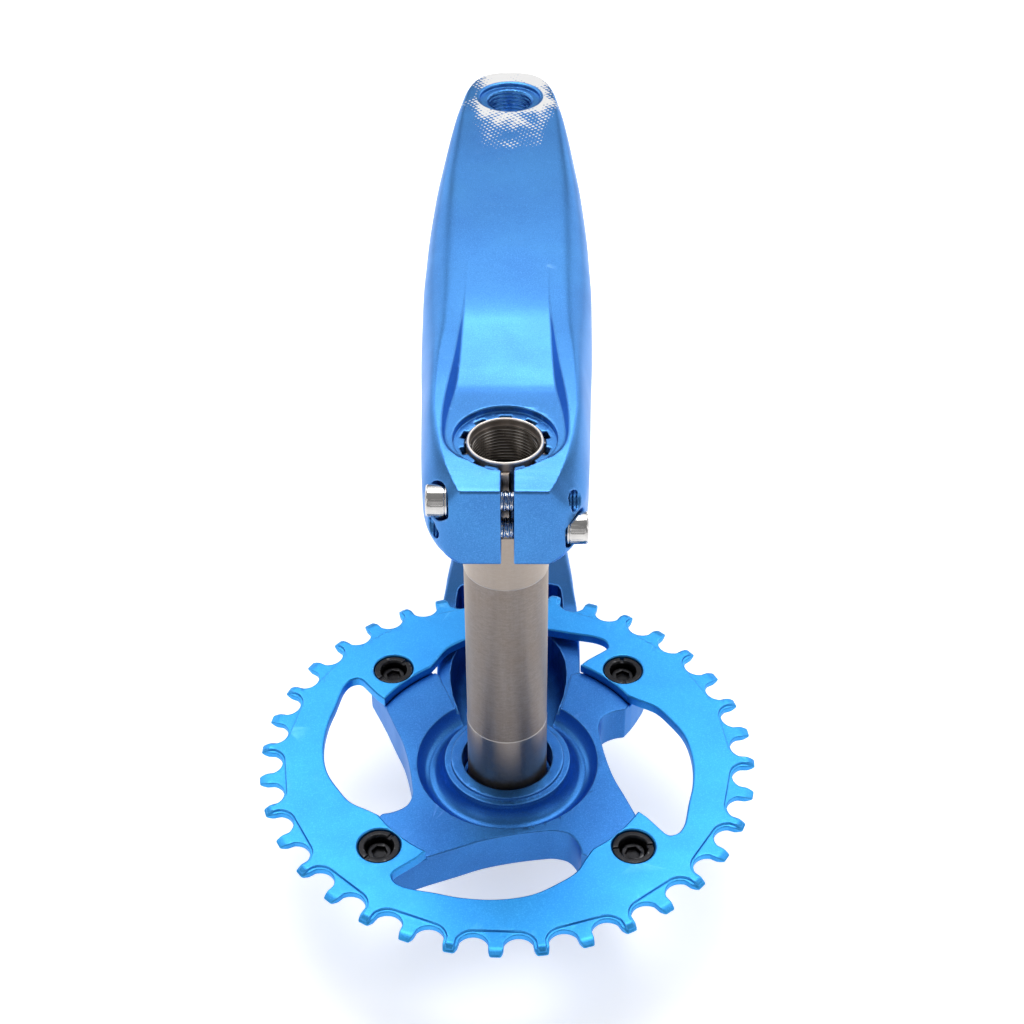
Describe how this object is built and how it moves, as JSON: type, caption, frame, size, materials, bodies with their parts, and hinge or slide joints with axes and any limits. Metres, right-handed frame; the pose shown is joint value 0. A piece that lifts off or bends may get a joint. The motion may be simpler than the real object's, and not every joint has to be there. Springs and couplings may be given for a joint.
{
  "type": "bicycle crankset",
  "caption": "Two-piece bicycle crankset with a hollow steel spindle, a four-arm spider, a narrow-wide chainring and a clamp-on left arm.",
  "frame": {"origin": "on the spindle axis, midway between the two faces that close on the bottom bracket", "axes": "+Z along the spindle towards the left arm, +Y from the spindle towards the pedal ends of both arms, +X completes the right-handed frame"},
  "size_m": [0.1504, 0.264, 0.1748],
  "materials": {
    "arm_blue": "satin blue anodised forged aluminium",
    "ring_blue": "fine-blasted cyan-blue anodised aluminium plate",
    "spindle_steel": "turned chromium-molybdenum steel with ground bearing journals",
    "black_steel": "black oxide steel",
    "bright_steel": "bright plated steel"
  },
  "bodies": {
    "drive_side": {"right_crank_arm": "arm_blue", "spindle": "spindle_steel", "chainring": "ring_blue", "chainring_nut_1": "black_steel", "chainring_bolt_1": "black_steel", "chainring_nut_2": "black_steel", "chainring_bolt_2": "black_steel", "chainring_nut_3": "black_steel", "chainring_bolt_3": "black_steel", "chainring_nut_4": "black_steel", "chainring_bolt_4": "black_steel"},
    "left_arm": {"left_crank_arm": "arm_blue"},
    "upper_pinch_bolt": {"pinch_bolt_upper": "bright_steel"},
    "lower_pinch_bolt": {"pinch_bolt_lower": "bright_steel"}
  },
  "joints": [
    {"name": "left_arm_slide", "type": "slide", "parent": "drive_side", "child": "left_arm", "axis": [0, 0, 1], "range_m": [0, 0.026]},
    {"name": "upper_pinch_bolt_turn", "type": "hinge", "parent": "left_arm", "child": "upper_pinch_bolt", "pos_m": [0, -0.0162, 0.0647], "axis": [-1, 0, 0], "range_deg": [0, 1080]},
    {"name": "lower_pinch_bolt_turn", "type": "hinge", "parent": "left_arm", "child": "lower_pinch_bolt", "pos_m": [0, -0.0162, 0.0557], "axis": [1, 0, 0], "range_deg": [0, 1080]}
  ]
}
